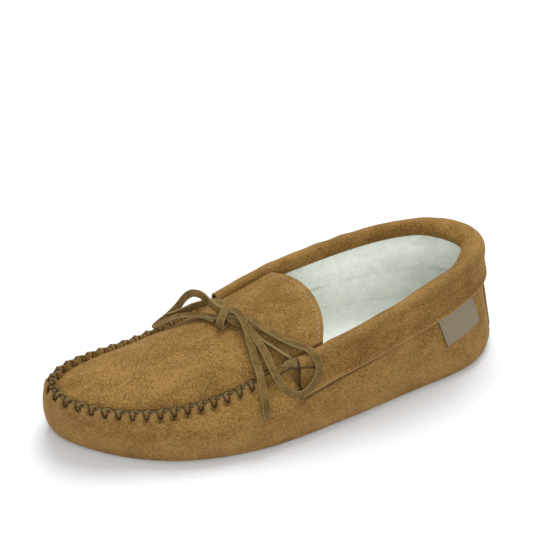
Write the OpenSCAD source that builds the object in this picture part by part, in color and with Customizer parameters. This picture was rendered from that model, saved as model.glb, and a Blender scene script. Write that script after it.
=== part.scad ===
// Soft-soled leather slipper of moccasin form, left foot.
// The sole and sides are one leather shell that wraps up round the foot and is gathered to a vamp
// plug along a raised seam. A padded cuff covers the topline and a leather lace ties in a bow.
// Millimetres. Origin on the floor below the middle of the foot: toe to -X, heel to +X, up +Z.
// The outer (lateral) side of the foot is towards -Y.

/* [Shell] */
// Outer length from toe to heel
foot_l = 285; // [270:1:300]
// Height at which the toe bulges furthest
bulge_z = 17; // [14:0.5:20]
// How far the flat underside is inset from the bulge at the toe
sole_inset = 7; // [6:0.5:9]
// Thickness of the shell leather
leather = 2; // [1.6:0.1:2.2]

/* [Vamp] */
// Height of the crown of the vamp above its stitched edge
crown_h = 19; // [16:0.5:21]
// Height by which the gathered seam stands above the edge of the plug
ridge_h = 4; // [3.5:0.5:5]
// Where the tongue folds, measured along the foot
fold_x = 2; // [0:0.5:4]
// Where the middle of the tongue ends
tongue_x = 26; // [20:1:27]

/* [Cuff] */
// Depth of the outer flap along the sides
cuff_d = 23.5; // [22:0.5:25]
// Depth of the outer flap at the heel
cuff_heel_d = 25; // [24:0.5:28]
// Thickness of the cuff leather
cuff_leather = 1.6; // [1.2:0.1:1.8]

/* [Lining] */
// Thickness of the fleece
fleece = 5; // [3.5:0.5:5.5]
// Thickness of the foam sole pad
pad_t = 4.2; // [3:0.2:4.4]

/* [Lace] */
// Width of the flat lace
lace_w = 4.6; // [4:0.2:5]
// Thickness of the flat lace
lace_t = 1.8; // [1.4:0.1:2]

/* [Thread] */
// Diameter of the thread that gathers the vamp seam
thread_d = 1; // [0.8:0.1:1.2]
// Distance from one seam hole to the next
stitch_pitch = 8; // [7:0.5:9]

/* [Hidden] */

suede = "#97743f";
suede_dark = "#71552c";
fleece_white = "#d0dccb";
foam_grey = "#8c8c88";
lace_tan = "#8e7a4c";
thread_brown = "#3a2614";

// Half widths at equal steps along the foot, toe to heel
bulge_lateral = [50, 61, 59, 51, 48.5, 61];
bulge_medial = [46, 47.5, 47, 47.5, 50, 57];
rim_lateral = [48, 43.5, 40.5, 39.5, 38.5, 39];
rim_medial = [48, 43.5, 43, 45.5, 49, 56];
// Height of the rim at equal steps along the foot, toe to heel
rim_height = [39, 33.5, 36, 50, 61, 71.5, 78.5];
rim_toe = -139;
rim_heel = 130.5;
toe_swing = 9;

gap = 0.25;
around = 64;
skin_levels = [-1, -0.6, -0.3, 0, 0.2, 0.4, 0.6, 0.8, 0.9, 1];

heel_t = 180;
strip_cols = 2;
strip_turn = 3;
strip_t = 1.2;
vamp_start = -136.5;
vamp_inset = 2.4;
fold_bow = 5;
fold_gap = 0.4;
tongue_bow = -10.5;
tongue_skew = 2;
tongue_inset = 5.8;
lining_inset = 8;
lining_gap = 0.75;
// The padded roll: how far it reaches inwards along the sides, and how much more at the heel
roll_w = 4.9;
roll_heel = 5.2;
vamp_fleece = 4.5;
// Angles round the foot of the cuff's two front ends, of the seam's two ends and of the label's
cuff_t0 = 91;
cuff_t1 = 278;
cuff_steps = 50;
seam_t0 = -78;
seam_t1 = 81;
label_t0 = 133.5;
label_t1 = 152.3;
label_h = 20.5;
label_skew = 1.3;
label_t = 0.8;

// Lace routes: the two parts that run from the knot into the cuff, the loops and the loose ends
thong_near = [[-20, -9, 56.5], [-16, -18, 54], [-10, -27, 51.5], [-5, -33.5, 49]];
thong_far = [[-25.5, 36.5, 45.5], [-26.5, 30, 50.5], [-27.5, 23, 54], [-28.3, 16.5, 56], [-28.3, 11.5, 57]];
knot_path = [[-34, 7, 57.5], [-31, 5, 58.5], [-27, 2, 59], [-23, -2, 58.8], [-20, -5, 57.5]];
near_route = [[-20, -2, 59.5], [-16, -8, 59], [-12.5, -14, 57.5], [-8, -20, 56], [-3, -26, 54.5],
              [2, -32, 54], [6, -38.5, 54.5], [8, -46, 51], [7.5, -48, 43.5], [3.5, -48.5, 37],
              [-2.5, -48, 32], [-9.5, -47, 33.5], [-14, -45, 39.5], [-17, -42, 46], [-18, -35.5, 50.5],
              [-18.5, -28.5, 53.5], [-19.5, -21, 55.5], [-20.5, -14, 57], [-22, -7, 58]];
far_route = [[-31, 6, 61], [-34.5, 9.5, 62.5], [-37, 14.5, 64], [-39.5, 20, 65.5],
             [-42.5, 24.5, 64.5], [-44.5, 28.5, 61], [-47, 31, 56.5], [-49.5, 32.5, 51.5],
             [-53.5, 33.5, 46.5], [-58, 34.5, 42], [-63, 34.5, 39], [-65, 31, 41], [-61, 28, 45],
             [-57, 25.5, 48.5], [-52.5, 22.5, 51.5], [-47.5, 19, 53.5], [-42.5, 15, 55],
             [-39, 10, 56], [-36, 5, 56.5]];
near_tail_route = [[-27, 4, 63], [-25, 0.5, 63.5], [-24, -4.5, 63], [-23.5, -9.5, 61.5], [-23.5, -14.5, 59],
                   [-24, -19, 55.5], [-24, -23.5, 53], [-24.5, -28, 50], [-25, -33, 49],
                   [-25.5, -38.5, 47], [-25.5, -42, 42.5], [-26, -46, 38.5], [-26, -49.5, 34],
                   [-26.5, -52.5, 30], [-26.5, -55, 25.5]];
far_tail_route = [[-32, 9, 59], [-32.5, 11, 59.5], [-33.5, 13.5, 60], [-34.5, 16, 60], [-36, 18.5, 60],
                  [-37.5, 20.5, 59], [-39.5, 22, 58], [-41.5, 23.5, 57], [-43.5, 24.5, 56],
                  [-46, 25.5, 54.5], [-48, 26.5, 53], [-50, 27.5, 51.5], [-52.5, 28.5, 50],
                  [-54.5, 29.5, 48.5], [-57, 30.5, 47]];
near_ups = [for (i = [0 : 18]) let (k = smooth(5, 8, i) * (1 - smooth(12, 15, i))) [0, -k, 1 - 0.8 * k]];
far_ups = [for (i = [0 : 18]) let (k = 1 - smooth(7, 12, i)) [-0.8 * k, -0.4 * k, 1 - 0.6 * k]];
near_tail_ups = [for (i = [0 : 14]) let (k = smooth(6, 11, i)) [0, -k, 1 - 0.8 * k]];
far_tail_ups = [for (i = [0 : 14]) [0.2, -0.9, 0.4]];

// ---- Curves and surfaces -----------------------------------------------------------------

function mix(a, b, k) = a + (b - a) * k;
function clamp(x, lo, hi) = max(lo, min(hi, x));
function smooth(a, b, x) = let (k = clamp((x - a) / (b - a), 0, 1)) k * k * (3 - 2 * k);
function unit(v) = v / norm(v);
function reversed(v) = [for (i = [len(v) - 1 : -1 : 0]) v[i]];

// Value at index i of v, carried on in a straight line past both ends
function at(v, i) = let (n = len(v) - 1) i < 0 ? 2 * v[0] - v[1] : i > n ? 2 * v[n] - v[n - 1] : v[i];

// Smooth curve through equally spaced values; u runs from 0 to 1
function knot(v, u) =
    let (n = len(v) - 1, s = clamp(u, 0, 1) * n, i = min(floor(s), n - 1), f = s - i,
         a = at(v, i - 1), b = at(v, i), c = at(v, i + 1), d = at(v, i + 2))
    b + 0.5 * f * (c - a + f * (2 * a - 5 * b + 4 * c - d + f * (3 * (b - c) + d - a)));

// t runs round the foot: 0 at the toe, 90 on the lateral side, 180 at the heel
function along(t) = (1 - cos(t)) / 2;

// 0 along the gathered seam and 1 where the shell's edge is tucked into the cuff
function tucked(t) = let (u = along(t)) sin(t) >= 0 ? smooth(0.465, 0.51, u) : smooth(0.385, 0.43, u);
// 0 along the sides and 1 at the heel
function heel(t) = smooth(0.9, 1, along(t));

// Height of the bulge and inset of the underside, which the heel and sides have less of
function low_z(t) = let (u = along(t)) mix(mix(bulge_z, 11, smooth(0, 0.14, u)), 9, smooth(0.8, 1, u));
function low_inset(t) = let (u = along(t)) mix(mix(sole_inset, 4, smooth(0, 0.14, u)), 3, smooth(0.8, 1, u));

// One outline round the foot, drawn in by inset
function outline(t, x0, x1, lateral, medial, z, inset) =
    let (u = along(t), w = knot(sin(t) >= 0 ? lateral : medial, u) - inset)
    [mix(x0 + inset, x1 - inset, u), toe_swing * (1 - u) ^ 2 - w * sin(t), z];

function bulge(t, z, inset = 0) =
    outline(t, -foot_l / 2, foot_l / 2, bulge_lateral, bulge_medial, z, inset);

// Top of the gathered seam in front and crest of the cuff behind
function rim(t, inset = 0, dz = 0) =
    let (p = outline(t, rim_toe, rim_heel, rim_lateral, rim_medial, 0, inset))
    p + [0, -6 * clamp((20 - p.x) / 100, 0, 1), knot(rim_height, along(t)) + dz];

// Outer face of the shell: s is -1 on the floor, 0 at the bulge and 1 at the top edge
function wall(t, s) =
    s <= 0 ? bulge(t, low_z(t) * (1 + sin(90 * s)), low_inset(t) * (1 - cos(90 * s))) :
    let (k = tucked(t), root = rim(t, -mix(2, 2.6, k), -mix(ridge_h, 20, k)), top = rim(t, -1.5 * k, -8 * k))
    s > 0.8 ? mix(root, top, (s - 0.8) / 0.2) :
    let (p = s / 0.8, low = bulge(t, low_z(t)), back = smooth(0.35, 0.65, along(t)),
         in = p ^ mix(1.7, 1, back), up = 1 - (1 - p) ^ mix(1.3, 1, back))
    [mix(low.x, root.x, in), mix(low.y, root.y, in), mix(low.z, root.z, up)];

function wall_normal(t, s) =
    let (dt = wall(t + 0.1, s) - wall(t - 0.1, s), ds = wall(t, min(s + 0.01, 1)) - wall(t, max(s - 0.01, -1)))
    unit(cross(dt, ds));

// A point d outside the shell's outer face
function offset_wall(t, s, d) = wall(t, s) + d * wall_normal(t, s);

// A point of the cuff: n outwards from the crest and z above it
function crest_normal(t) = let (d = rim(t + 0.1) - rim(t - 0.1)) unit([d.y, -d.x, 0]);
function on_crest(t, n, z) = rim(t) + n * crest_normal(t) + [0, 0, z];

// Angle at which the rim has a given x
function angle_at(x) = acos(1 - 2 * (x - rim_toe) / (rim_heel - rim_toe));

// Top face of the vamp and tongue: v is -1 on the medial side and 1 on the lateral side
// It narrows by tuck where its edges run in under the cuff.
function vamp(x, v, inset, drop, tuck = 0) =
    let (t = angle_at(x), u = along(t),
         a = rim(360 - t, inset + tuck * smooth(-38, -26, x)), b = rim(t, inset + tuck * smooth(-12, -4, x)),
         edge = knot(rim_height, u) - ridge_h + 2 * smooth(-11, 14, x),
         low = min(u, 0.33) / 0.33,
         front = edge + crown_h * (1 - (1 - low) ^ 2),
         mid = mix(front, mix(54.3, 57.5, smooth(-40, 22, x)), smooth(-60, -30, x)))
    [b.x, mix(a.y, b.y, (v + 1) / 2), mix(edge, mid, 1 - abs(v) ^ 2.2) - drop];

// ---- Solids ------------------------------------------------------------------------------

// Solid through a stack of closed rings with an even number of points each.
// Its ends are capped, or joined to each other when loop is true.
module skin(rings, loop = false) {
    n = len(rings[0]);
    m = len(rings);
    sides = [for (i = [0 : m - (loop ? 1 : 2)], j = [0 : n - 1])
        let (a = i * n + j, b = i * n + (j + 1) % n, k = ((i + 1) % m) * n, c = k + (j + 1) % n, d = k + j)
        each [[a, b, c], [a, c, d]]];
    cap = [for (j = [0 : n / 2 - 2]) each [[j, n - 1 - j, n - 2 - j], [j, n - 2 - j, j + 1]]];
    base = (m - 1) * n;
    caps = loop ? [] : concat(cap, [for (f = cap) [base + f[2], base + f[1], base + f[0]]]);
    polyhedron([for (r = rings) each r], concat(sides, caps), convexity = 6);
}

// Round the whole foot at one level
function ring(s, d) = [for (i = [0 : around - 1]) offset_wall(i * 360 / around, s, d)];

// Flat or round tube along a path: w wide and h high, with up held to the path's side
module thong(path, ups, w, h, sides = 8) {
    last = len(path) - 1;
    rings = [for (i = [0 : last])
        let (along = unit(path[min(i + 1, last)] - path[max(i - 1, 0)]),
             side = unit(cross(along, ups[i])), up = cross(side, along))
        [for (k = [0 : sides - 1]) let (a = 360 * (k + 0.5) / sides)
            path[i] + side * w / 2 * soft(cos(a)) + up * h / 2 * soft(sin(a))]];
    skin(rings);
}
// Squares off a circle a little
function soft(c) = sign(c) * abs(c) ^ 0.7;

// A sheet between two x lines that follows the vamp
// Its front and back edges curve along the foot by bow0 and bow1 at the sides, and the back edge
// is skewed by skew.
module vamp_sheet(x0, bow0, x1, bow1, inset, drop, thick, rows, tuck = 0, skew = 0) {
    cols = 16;
    function at_v(i, v, d) = vamp(x_at(i, v), v, inset, d, tuck);
    function x_at(i, v) = mix(x0 + bow0 * v ^ 2, x1 + skew * v + bow1 * v ^ 2, i / rows);
    skin([for (i = [0 : rows]) concat(
        [for (j = [cols : -1 : 0]) at_v(i, 2 * j / cols - 1, drop)],
        [for (j = [0 : cols]) at_v(i, 2 * j / cols - 1, drop + thick)])]);
}

// ---- Parts -------------------------------------------------------------------------------

// Sole and sides in one piece
module shell() {
    color(suede) skin(concat([for (s = skin_levels) ring(s, -leather)],
                             [for (s = reversed(skin_levels)) ring(s, 0)]));
}

// Strip over the back seam
module heel_strip() {
    levels = [-0.3 : 0.1 : 0.5];
    lift = 0.2;
    color(suede) skin([for (s = levels) concat(
        [for (i = [-strip_cols : strip_cols]) offset_wall(heel_t + strip_turn * i, s, lift)],
        [for (i = [strip_cols : -1 : -strip_cols]) offset_wall(heel_t + strip_turn * i, s, lift + strip_t)])]);
}

// Leather top of the forefoot, up to the fold behind the bow
module vamp_plug() {
    color(suede) vamp_sheet(vamp_start, 0, fold_x, fold_bow, vamp_inset, 0, leather, 24,
                            tongue_inset - vamp_inset);
}

// Fleece under the vamp plug
module vamp_lining() {
    color(fleece_white)
        vamp_sheet(vamp_start + 8, 0, fold_x, fold_bow, lining_inset, leather + gap, vamp_fleece, 20);
}

// Free flap of the vamp leather behind the fold
module tongue() {
    color(suede) vamp_sheet(fold_x + fold_gap, fold_bow, tongue_x, tongue_bow, tongue_inset, 0, leather, 8,
                            skew = tongue_skew);
}

module tongue_lining() {
    color(fleece_white) vamp_sheet(fold_x + fold_gap, fold_bow, tongue_x - 3, tongue_bow, tongue_inset + 2,
                                   leather + gap, vamp_fleece - 1, 8, skew = tongue_skew);
}

// Depth of the outer flap and how far its lower edge stands out, at t
function flap_depth(t) =
    mix(cuff_d - 1 + smooth(0.5, 0.62, along(t)), cuff_heel_d, smooth(0.7, 0.85, along(t)));
function flap_out(t) =
    let (u = along(t)) mix(mix(mix(9, 8.6, smooth(0.42, 0.5, u)), 6.8, smooth(0.5, 0.62, u)), 7, smooth(0.8, 1, u));
// Angle round the foot at a share of the way from the cuff's one front end, in by a few degrees, to the other
function cuff_angle(share, in = 0) = mix(cuff_t0 + in, cuff_t1 - in, share);

// How far the roll reaches inwards from the crest
function roll_in(t) = roll_w + roll_heel * heel(t);

// Padded band over the topline: outer flap, crest and inner flap
module cuff() {
    inner_z = 8.4;
    k = cuff_leather;
    color(suede_dark) skin([for (i = [0 : cuff_steps])
        let (t = cuff_angle(i / cuff_steps), d = flap_depth(t), o = flap_out(t), w = roll_in(t), a = 0.7 * w)
        [for (q = [[o, -d], [5.5, -0.75 * d], [4.7, -13], [4.9, -6.5], [3.5, -2], [0, 0], [-a, -2],
                   [-w, -5.8], [-w, -inner_z],
                   [k - w, -inner_z], [k - w, -6.2], [k / 2 - a, -1.5 - k], [0, -k - 0.1], [2.4, -1.5 - k],
                   [4.9 - k, -6.8], [4.7 - k, -13], [5.5 - k, -0.75 * d], [o - k - 0.1, -d]])
            on_crest(t, q[0], q[1])]]);
}

// Foam under the crest of the cuff
module cuff_padding() {
    top = 2.4;
    low = 7.6;
    color(foam_grey) skin([for (i = [0 : cuff_steps])
        let (t = cuff_angle(i / cuff_steps, 4), in = 0.4 + 4.5 * heel(t))
        [for (q = [[2.9, -low], [2.9, -6.8], [2, -3.4], [0.5, -top - 0.1], [-in, -top - 1.6 * heel(t)], [-in, -low]])
            on_crest(t, q[0], q[1])]]);
}

// Fleece on the inside of the shell, thinner where the cuff grips it
function lining_top(t) = mix(0.45, 1, tucked(t));
function lining_depth(t, s) = mix(fleece, 1.4 + (roll_heel - 0.3) * heel(t), tucked(t) * smooth(0.75, 0.95, s));
function lining_ring(k, inner) = [for (i = [0 : around - 1])
    let (t = i * 360 / around, s = mix(-0.15, lining_top(t), k), b = tucked(t),
         d = leather + lining_gap + 8 * b * (1 - b))
    offset_wall(t, s, -d - (inner ? lining_depth(t, s) : 0))];
module side_lining() {
    steps = 6;
    color(fleece_white) skin(concat([for (k = [0 : steps]) lining_ring(k / steps, true)],
                                    [for (k = [steps : -1 : 0]) lining_ring(k / steps, false)]), loop = true);
}

// A flat sole-shaped solid through levels of [height, inset]
module sole_shape(levels) {
    turn = 360 / around;
    skin([for (q = levels) [for (i = [0 : around - 1]) bulge(i * turn, q[0], q[1])]]);
}

module sole_pad() {
    z0 = leather + gap;
    color(foam_grey) sole_shape([[z0 + pad_t, 4.9], [z0 + 1.3, 6], [z0, 7.8]]);
}

module insole() {
    z0 = leather + pad_t + 2 * gap;
    inset = leather + fleece + lining_gap + 1.4;
    color(fleece_white) sole_shape([[z0 + fleece, inset + 1.5], [z0 + fleece - 1.5, inset + 0.4], [z0, inset + 1.6]]);
}

// Woven label that hangs from below the cuff on the lateral side of the heel
module label() {
    cols = 6;
    rows = 4;
    lift = 0.4;
    color("#887d68") skin([for (r = [0 : rows]) concat(
        [for (i = [cols : -1 : 0]) label_point(i / cols, r / rows, lift)],
        [for (i = [0 : cols]) label_point(i / cols, r / rows, lift + label_t)])]);
}
// The point of the wall at a given depth below the crest
function wall_at_depth(t, z) =
    let (low = wall(t, 0).z, high = wall(t, 0.8).z) clamp((z - low) / (high - low), 0, 1) * 0.8;
function label_point(a, b, d) =
    let (t = mix(label_t0, label_t1, a) + label_skew * b, z = rim(t).z - flap_depth(t) - 0.8 - label_h * b)
    offset_wall(t, wall_at_depth(t, z), d);

// Gathering thread: from a hole in the shell over the seam to a hole in the plug and back
module vamp_stitching() {
    long = seam_lengths[len(seam_lengths) - 1][1];
    count = round(long / stitch_pitch);
    clear = 0.6 * thread_d;
    path = [for (i = [0 : count - 1], q = [0, 0.22, 0.36, 0.5, 0.64, 0.78])
        let (t = lookup((i + q) * long / count, [for (p = seam_lengths) [p[1], p[0]]]))
        q == 0 ? offset_wall(t, 0.8, 0.2) :
        q == 0.5 ? rim(t, leather + clear, -ridge_h + clear) :
        rim(t, abs(q - 0.5) > 0.2 ? -clear : leather + clear, clear)];
    color(thread_brown) thong(path, [for (p = path) [0, 0, 1]], thread_d, thread_d, 4);
}
// [angle, length along the seam] pairs
seam_lengths = [for (t = seam_t0, d = 0; t <= seam_t1; d = d + norm(rim(t + 1) - rim(t)), t = t + 1) [t, d]];

// Row of stitches along the lower edge of the cuff
module cuff_stitching() {
    path = [for (i = [0 : 60]) let (t = cuff_angle(i / 60, 2))
        on_crest(t, mix(flap_out(t), 5.5, 0.45), -flap_depth(t) + 3) + 0.2 * crest_normal(t)];
    color(lace_tan) thong(path, [for (p = path) [0, 0, 1]], 0.7, 0.7, 6);
}

// Row of stitches along the end of the tongue
module tongue_stitching() {
    path = [for (i = [-10 : 10]) let (v = 0.09 * i)
        vamp(tongue_x - 3.5 + tongue_skew * v + tongue_bow * v ^ 2, v, tongue_inset, 0)];
    color(fleece_white) thong(path, [for (p = path) [0, 0, 1]], 0.6, 0.6, 6);
}

// ---- Lace --------------------------------------------------------------------------------

// Lace from the knot into the cuff, round the heel inside it and out to the knot again
module lace_thong() {
    turns = [for (i = [0 : 44]) cuff_angle(i / 44, 0.5)];
    path = concat(thong_near, [for (t = turns) on_crest(t, -1.6 - 4.5 * heel(t), -5.5)], thong_far);
    ups = concat([for (p = thong_near) [0, -0.2, 1]], [for (t = turns) crest_normal(t)],
                 [for (p = thong_far) [0, 0.2, 1]]);
    color(lace_tan) thong(path, ups, lace_w, lace_t);
}

module lace_knot() {
    color(lace_tan) thong(knot_path, [for (p = knot_path) [0, 0, 1]], 9, 5.6);
}

module lace_cord(route, ups) {
    color(lace_tan) thong(route, ups, lace_w, lace_t);
}

module lace_loop_near() { lace_cord(near_route, near_ups); }
module lace_loop_far() { lace_cord(far_route, far_ups); }
module lace_tail_near() { lace_cord(near_tail_route, near_tail_ups); }
module lace_tail_far() { lace_cord(far_tail_route, far_tail_ups); }

shell();
heel_strip();
vamp_plug();
vamp_lining();
cuff();
cuff_padding();
side_lining();
sole_pad();
insole();
tongue();
tongue_lining();
label();
vamp_stitching();
cuff_stitching();
tongue_stitching();
lace_thong();
lace_knot();
lace_loop_near();
lace_loop_far();
lace_tail_near();
lace_tail_far();
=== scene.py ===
"""Visual model of a soft-soled moccasin slipper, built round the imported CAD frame.

Shapes are worked out in millimetres with the same curves as the CAD and turned into metres when a
mesh is made. Toe is -X, heel +X, the outer side of the foot -Y, up +Z, floor at z = 0.
"""

import math

import bpy
import numpy as np
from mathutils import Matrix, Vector


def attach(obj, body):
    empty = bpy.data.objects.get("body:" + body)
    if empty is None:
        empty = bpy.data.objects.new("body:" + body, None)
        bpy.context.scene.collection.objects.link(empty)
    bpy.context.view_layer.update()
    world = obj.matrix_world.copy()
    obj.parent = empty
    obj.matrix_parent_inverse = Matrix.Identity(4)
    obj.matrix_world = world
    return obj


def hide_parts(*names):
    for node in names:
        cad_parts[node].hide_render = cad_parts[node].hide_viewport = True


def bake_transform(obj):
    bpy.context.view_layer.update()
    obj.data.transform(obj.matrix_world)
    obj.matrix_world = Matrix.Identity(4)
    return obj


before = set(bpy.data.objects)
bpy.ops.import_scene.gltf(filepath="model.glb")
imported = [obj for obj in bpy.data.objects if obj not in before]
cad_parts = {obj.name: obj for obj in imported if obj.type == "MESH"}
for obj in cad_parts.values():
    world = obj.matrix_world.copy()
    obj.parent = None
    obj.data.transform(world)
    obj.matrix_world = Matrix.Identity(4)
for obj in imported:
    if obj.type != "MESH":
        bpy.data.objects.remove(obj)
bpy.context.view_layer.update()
MM = 0.001

# ---- Camera ------------------------------------------------------------------------------------

AZIMUTH, ELEVATION, DISTANCE = math.radians(-21.5), math.radians(37.5), 1.0
TARGET = Vector((-0.006, 0, 0.0915))
LENS, SENSOR = 116.8, 36
back = Vector((math.sin(AZIMUTH) * math.cos(ELEVATION), -math.cos(AZIMUTH) * math.cos(ELEVATION),
               math.sin(ELEVATION)))
camera = bpy.data.objects.new("camera", bpy.data.cameras.new("camera"))
bpy.context.scene.collection.objects.link(camera)
camera.data.lens, camera.data.sensor_width = LENS, SENSOR
camera.location = TARGET + back * DISTANCE
camera.rotation_euler = (-back).to_track_quat("-Z", "Y").to_euler()
bpy.context.scene.camera = camera

# ---- Curves of the slipper, in millimetres -----------------------------------------------------

FOOT_L, BULGE_Z, SOLE_INSET, LEATHER = 285, 17, 7, 2
RIDGE_H, CROWN_H = 4, 19
BULGE_LATERAL = [50, 61, 59, 51, 48.5, 61]
BULGE_MEDIAL = [46, 47.5, 47, 47.5, 50, 57]
RIM_LATERAL = [48, 43.5, 40.5, 39.5, 38.5, 39]
RIM_MEDIAL = [48, 43.5, 43, 45.5, 49, 56]
RIM_HEIGHT = [39, 33.5, 36, 50, 61, 71.5, 78.5]
RIM_TOE, RIM_HEEL, TOE_SWING = -139, 130.5, 9
CUFF_D, CUFF_HEEL_D = 23.5, 25
TAU = 2 * np.pi


def mix(a, b, k):
    return a + (b - a) * k


def smooth(a, b, x):
    k = np.clip((x - a) / (b - a), 0, 1)
    return k * k * (3 - 2 * k)


def unit(v):
    return v / np.maximum(np.linalg.norm(v, axis=-1, keepdims=True), 1e-12)


def knot(values, u):
    """Smooth curve through equally spaced values; u runs from 0 to 1."""
    v = np.asarray(values, float)
    n = len(v) - 1
    s = np.clip(u, 0, 1) * n
    i = np.minimum(s.astype(int), n - 1)
    f = s - i

    def at(k):
        inside = v[np.clip(k, 0, n)]
        return np.where(k < 0, 2 * v[0] - v[1], np.where(k > n, 2 * v[n] - v[n - 1], inside))

    a, b, c, d = at(i - 1), at(i), at(i + 1), at(i + 2)
    return b + 0.5 * f * (c - a + f * (2 * a - 5 * b + 4 * c - d + f * (3 * (b - c) + d - a)))


def along(t):
    """Share of the foot's length at t, which is 0 at the toe, pi/2 on the outer side, pi at the heel."""
    return (1 - np.cos(t)) / 2


def outline(t, x0, x1, lateral, medial, z, inset):
    u = along(t)
    w = np.where(np.sin(t) >= 0, knot(lateral, u), knot(medial, u)) - inset
    x = mix(x0 + inset, x1 - inset, u)
    return np.stack([x, TOE_SWING * (1 - u) ** 2 - w * np.sin(t), z + 0 * x], -1)


def tucked(t):
    """0 along the gathered seam and 1 where the shell's edge is tucked into the cuff."""
    u = along(t)
    return np.where(np.sin(t) >= 0, smooth(0.48, 0.518, u), smooth(0.395, 0.437, u))


def heel(t):
    """0 along the sides and 1 at the heel."""
    return smooth(0.9, 1, along(t))


def low_z(t):
    u = along(t)
    return mix(mix(BULGE_Z, 11, smooth(0, 0.14, u)), 9, smooth(0.8, 1, u))


def low_inset(t):
    u = along(t)
    return mix(mix(SOLE_INSET, 4, smooth(0, 0.14, u)), 3, smooth(0.8, 1, u))


def bulge(t, z, inset=0.0):
    return outline(t, -FOOT_L / 2, FOOT_L / 2, BULGE_LATERAL, BULGE_MEDIAL, z, inset)


def rim(t, inset=0.0, dz=0.0):
    """Top of the gathered seam in front and crest of the cuff behind."""
    p = outline(t, RIM_TOE, RIM_HEEL, RIM_LATERAL, RIM_MEDIAL, knot(RIM_HEIGHT, along(t)) + dz, inset)
    p[..., 1] -= 6 * np.clip((20 - p[..., 0]) / 100, 0, 1)
    return p


def wall(t, s):
    """Outer face of the shell: s is -1 on the floor, 0 at the bulge and 1 at the top edge."""
    t, s = np.broadcast_arrays(np.asarray(t, float), np.asarray(s, float))
    u = along(t)
    behind, hidden = smooth(0.35, 0.65, u), tucked(t)
    a = np.clip(-s, 0, 1) * np.pi / 2
    low = bulge(t, low_z(t) * (1 - np.sin(a)), low_inset(t) * (1 - np.cos(a)))
    root = rim(t, -mix(2, 2.6, hidden), -mix(RIDGE_H, 20, hidden))
    top = rim(t, -1.5 * hidden, -8 * hidden)
    p = np.clip(s / 0.8, 0, 1)
    inwards = p ** mix(1.7, 1, behind)
    upwards = 1 - (1 - p) ** mix(1.3, 1, behind)
    middle = bulge(t, low_z(t))
    side = middle + (root - middle) * inwards[..., None]
    side[..., 2] = mix(middle[..., 2], root[..., 2], upwards)
    high = mix(root, top, np.clip((s - 0.8) / 0.2, 0, 1)[..., None])
    s = s[..., None]
    return np.where(s <= 0, low, np.where(s <= 0.8, side, high))


def wall_normal(t, s):
    e = 0.002
    dt = wall(t + e, s) - wall(t - e, s)
    ds = wall(t, np.minimum(s + 0.01, 1)) - wall(t, np.maximum(s - 0.01, -1))
    return unit(np.cross(dt, ds))


def offset_wall(t, s, d):
    return wall(t, s) + wall_normal(t, s) * np.asarray(d)[..., None]


def crest_normal(t):
    d = rim(t + 0.001) - rim(t - 0.001)
    return unit(np.stack([d[..., 1], -d[..., 0], 0 * d[..., 0]], -1))


def on_crest(t, n, z):
    """A point n outwards from the crest and z above it."""
    up = np.array([0, 0, 1.0])
    return rim(t) + crest_normal(t) * np.asarray(n)[..., None] + up * np.asarray(z)[..., None]


def flap_depth(t):
    u = along(t)
    return mix(CUFF_D - 1 + smooth(0.5, 0.62, u), CUFF_HEEL_D, smooth(0.7, 0.85, u))


def flap_out(t):
    u = along(t)
    sides = mix(mix(9, 8.6, smooth(0.42, 0.5, u)), 6.8, smooth(0.5, 0.62, u))
    return mix(sides, 7, smooth(0.8, 1, u))


def angle_at(x):
    return np.arccos(np.clip(1 - 2 * (x - RIM_TOE) / (RIM_HEEL - RIM_TOE), -1, 1))


def vamp_height(x, y):
    """Height of the vamp's top face over a point of the plan."""
    x = np.clip(x, -138.5, 60)
    t = angle_at(x)
    u = along(t)
    a, b = rim(TAU - t, 2.4)[..., 1], rim(t, 2.4)[..., 1]
    v = np.clip((2 * y - a - b) / (b - a), -1, 1)
    edge = knot(RIM_HEIGHT, u) - RIDGE_H + 2 * smooth(-11, 14, x)
    front = edge + CROWN_H * (1 - (1 - np.minimum(u, 0.33) / 0.33) ** 2)
    middle = mix(front, mix(54.3, 57.5, smooth(-40, 22, x)), smooth(-60, -30, x))
    return mix(edge, middle, 1 - np.abs(v) ** 2.2)


# ---- Noise, the same each run ------------------------------------------------------------------

GRAIN = np.random.default_rng(11).random((32, 32, 32)) * 2 - 1


def noise(p, size, shift=0.0):
    """Smooth noise from -1 to 1 over points in millimetres, with features about size wide."""
    q = np.asarray(p, float) / size + shift
    i = np.floor(q).astype(int)
    f = q - i
    f = f * f * (3 - 2 * f)
    total = 0
    for dx in (0, 1):
        for dy in (0, 1):
            for dz in (0, 1):
                w = ((f[..., 0] if dx else 1 - f[..., 0]) * (f[..., 1] if dy else 1 - f[..., 1])
                     * (f[..., 2] if dz else 1 - f[..., 2]))
                total = total + w * GRAIN[(i[..., 0] + dx) % 32, (i[..., 1] + dy) % 32,
                                          (i[..., 2] + dz) % 32]
    return total


# ---- The gathered seam -------------------------------------------------------------------------

SEAM_FAR, SEAM_NEAR = math.radians(-77), math.radians(82)
STITCHES = 32
seam_line = np.linspace(SEAM_FAR, SEAM_NEAR, 2001)
seam_steps = np.linalg.norm(np.diff(rim(seam_line), axis=0), axis=1)
seam_arc = np.concatenate([[0], np.cumsum(seam_steps)])
seam_arc *= STITCHES / seam_arc[-1]


def turned(t):
    """The same angle from -pi to pi."""
    return (np.asarray(t, float) + np.pi) % TAU - np.pi


def seam_phase(t):
    """Number of stitches from the far end of the seam: whole at each hole in the shell."""
    return np.interp(turned(t), seam_line, seam_arc)


def seam_angle(phase):
    return np.interp(phase, seam_arc, seam_line)


def seam_share(t):
    """1 along the gathered seam and 0 behind it."""
    t = turned(t)
    return smooth(SEAM_FAR - 0.08, SEAM_FAR + 0.03, t) * (1 - smooth(SEAM_NEAR - 0.03, SEAM_NEAR + 0.08, t))


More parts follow.
